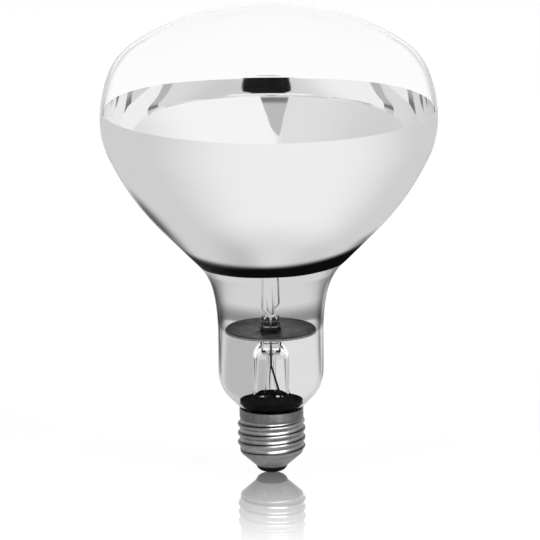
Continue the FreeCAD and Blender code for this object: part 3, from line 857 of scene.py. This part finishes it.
def white_floor(tree, surface, away):
    """White gloss that mirrors the lamp near its foot."""
    connect(tree, surface.inputs["Base Color"], FLOOR_COLOUR)
    connect(tree, surface.inputs["Roughness"], FLOOR_ROUGHNESS)
    connect(tree, surface.inputs["Specular IOR Level"], 0.0)
    base = mixed(tree, FLOOR_GLOW, surface.outputs[0], glow(tree, 1.0))
    shine = add(tree, "ShaderNodeBsdfGlossy", {"Color": WHITE, "Roughness": SHINE_ROUGHNESS})
    return mixed(tree, ramp(tree, away, *SHINE_FADE, *SHINE), base, shine.outputs[0])


def neck_floor(tree, x, y, light):
    """Light of the floor, with its own levels on the strip that shows through the neck."""
    across = ramp(tree, maths(tree, "ABSOLUTE", x), *NECK_FLOOR_WIDTH, 1.0, 0.0)
    strip = times(tree, across, ramp(tree, y, *NECK_FLOOR_START, 0.0, 1.0))
    near = ramp(tree, x, *NECK_FLOOR_SIDES, *NECK_FLOOR)
    levels = blended(tree, ramp(tree, y, *NECK_FLOOR_CHANGE, 0.0, 1.0), near, NECK_FLOOR_FAR)
    return blended(tree, strip, light, levels)


def dark_spot(tree, middle, size, darkness):
    """Share of the floor's light that is left in and round a dark oval."""
    apart = vector_maths(tree, "SUBTRACT", position(tree), middle)["Vector"]
    scaled = vector_maths(tree, "DIVIDE", apart, size)["Vector"]
    reach = vector_maths(tree, "LENGTH", scaled)["Value"]
    return ramp(tree, reach, *SPOT_EDGE, 1.0 - darkness, 1.0)


def far_floor(tree, x, y):
    """1 on the floor far behind the lamp and 0 elsewhere."""
    across = ramp(tree, maths(tree, "ABSOLUTE", x), *FAR_SIDES, 1.0, 0.0)
    return times(tree, ramp(tree, y, *FAR_FLOOR, 0.0, 1.0), across)


def floor_light(tree, away):
    """Light of the floor as it shows in the lamp, graded from its bright front to its back."""
    level = vector_maths(tree, "NORMALIZE", position(tree))["Vector"]
    toward = vector_maths(tree, "DOT_PRODUCT", level, BRIGHT_FLOOR)["Value"]
    x, y, _ = place(tree)
    light = neck_floor(tree, x, y, ramp(tree, toward, *FLOOR_TURN, FLOOR_BACK, FLOOR_FRONT))
    for middle, size, darkness in DARK_SPOTS:
        light = times(tree, light, dark_spot(tree, middle, size, darkness))
    light = blended(tree, far_floor(tree, x, y), light, FAR_LIGHT)
    light = times(tree, light, ramp(tree, away, *NEAR_FLOOR, NEAR_SHARE, 1.0))
    return times(tree, light, ramp(tree, away, *FOOT_SHADE, FOOT_SHARE, 1.0))


def floor_material():
    """White gloss to the camera, and graded light in the lamp's own reflections."""
    made, tree, surface = material("floor")
    away = vector_maths(tree, "LENGTH", position(tree))["Value"]
    direct = add(tree, "ShaderNodeLightPath").outputs["Is Camera Ray"]
    show(tree, mixed(tree, direct, glow(tree, floor_light(tree, away)), white_floor(tree, surface, away)))
    return made


def floor():
    """A wide square just under the lamp's contact."""
    half = FLOOR_SIZE / 2
    corners = [(-half, -half), (half, -half), (half, half), (-half, half)]
    made = mesh_object("floor", [(x, y, -FLOOR_DROP) for x, y in corners], [tuple(range(len(corners)))])
    made.data.materials.append(floor_material())


def softbox(name, spot, size, power, only=None):
    """A square area light that faces the lamp. One for a single node shows in that node's metal too."""
    light = bpy.data.lights.new(name, "AREA")
    light.size = size
    light.energy = power
    made = bpy.data.objects.new(name, light)
    made.location = spot
    made.rotation_euler = (TARGET - Vector(spot)).to_track_quat("-Z", "Y").to_euler()
    made.visible_camera = False
    made.visible_glossy = only is not None
    made.visible_transmission = False
    if only:
        lit = bpy.data.collections.new(name)
        lit.objects.link(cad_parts[only])
        made.light_linking.receiver_collection = lit
    bpy.context.scene.collection.objects.link(made)


def camera():
    """A long lens that sees the lamp as the photograph does."""
    lens = bpy.data.cameras.new("camera")
    lens.sensor_width = SENSOR_WIDTH_MM
    lens.lens = SENSOR_WIDTH_MM * CAMERA_DISTANCE / VIEW_WIDTH
    lens.shift_y = -TARGET_ABOVE_MIDDLE
    lens.clip_end = CAMERA_REACH
    made = bpy.data.objects.new("camera", lens)
    tilt = math.radians(CAMERA_ELEVATION)
    back = Vector((0, -math.cos(tilt), math.sin(tilt)))
    made.location = TARGET + back * CAMERA_DISTANCE
    made.rotation_euler = (-back).to_track_quat("-Z", "Y").to_euler()
    made.rotation_euler.rotate_axis("Z", math.radians(-CAMERA_ROLL))
    bpy.context.scene.collection.objects.link(made)
    bpy.context.scene.camera = made


def dress(nodes, paint):
    """Give CAD nodes a material, with smooth faces and sharp edges."""
    for name in nodes:
        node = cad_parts[name]
        node.data.materials.clear()
        node.data.materials.append(paint)
        weld = node.modifiers.new("weld", "WELD")
        weld.merge_threshold = WELD_DISTANCE
        node.data.polygons.foreach_set("use_smooth", [True] * len(node.data.polygons))
        edges = node.modifiers.new("edges", "EDGE_SPLIT")
        edges.split_angle = math.radians(SHARP_ANGLE)


def replace(piece, node, paint):
    """Put a finer piece in the place of a CAD node."""
    piece.data.materials.append(paint)
    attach(piece, "root")
    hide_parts(node)


def lamp():
    """Finer pieces for the glass, the film and the filament, and materials for all other nodes."""
    arcs = bulb_arcs()
    tungsten = metal("tungsten", *TUNGSTEN)
    replace(glass_envelope(arcs), "glass_bulb", bulb_material())
    replace(mirror_film(arcs), "mirror_coating", mirror_material())
    replace(filament_coil(), "filament", tungsten)
    dress(["stem_flare", "exhaust_tube", "arbor_rod"], stem_material())
    dress([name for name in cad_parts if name.startswith("support_wire")], tungsten)
    dress(["lead_seal_front", "lead_seal_back"], metal("seal_wire", *SEAL_WIRE))
    dress(["inner_lead_front", "inner_lead_back"], metal("nickel_wire", *NICKEL_WIRE))
    dress(["side_lead", "center_lead"], plain("dark_wire", *DARK_WIRE, sheen=DARK_WIRE_SHEEN))
    dress(["heat_shield"], shield_material())
    dress(["cap_shell"], cap_material())
    dress(["capping_cement"], plain("cement", *CEMENT, bump=CEMENT_BUMP))
    dress(["cap_insulator"], plain("black_glass", *BLACK_GLASS, sheen=BLACK_GLASS_SHEEN))
    dress(["center_contact"], metal("contact_metal", *SHADED_CONTACT_METAL))
    dress(["contact_solder", "side_solder"], metal("solder", *SHADED_SOLDER))


def lights():
    """A soft light from each side, and one that only the cap catches."""
    for name, spot in SIDE_LIGHTS.items():
        softbox(name, spot, SIDE_LIGHT_SIZE, SIDE_LIGHT_POWER)
    softbox("cap_light", CAP_LIGHT_PLACE, CAP_LIGHT_SIZE, CAP_LIGHT_POWER, "cap_shell")


def render_settings():
    """Plain view settings, and enough bounces for light between the glass and the mirror."""
    scene = bpy.context.scene
    scene.view_settings.view_transform = "Standard"
    scene.cycles.max_bounces = MAX_BOUNCES
    scene.cycles.glossy_bounces = GLOSSY_BOUNCES
    scene.cycles.transmission_bounces = TRANSMISSION_BOUNCES
    scene.cycles.transparent_max_bounces = TRANSPARENT_BOUNCES
    scene.cycles.caustics_reflective = False
    scene.cycles.caustics_refractive = False


lamp()
floor()
world_light()
lights()
camera()
render_settings()
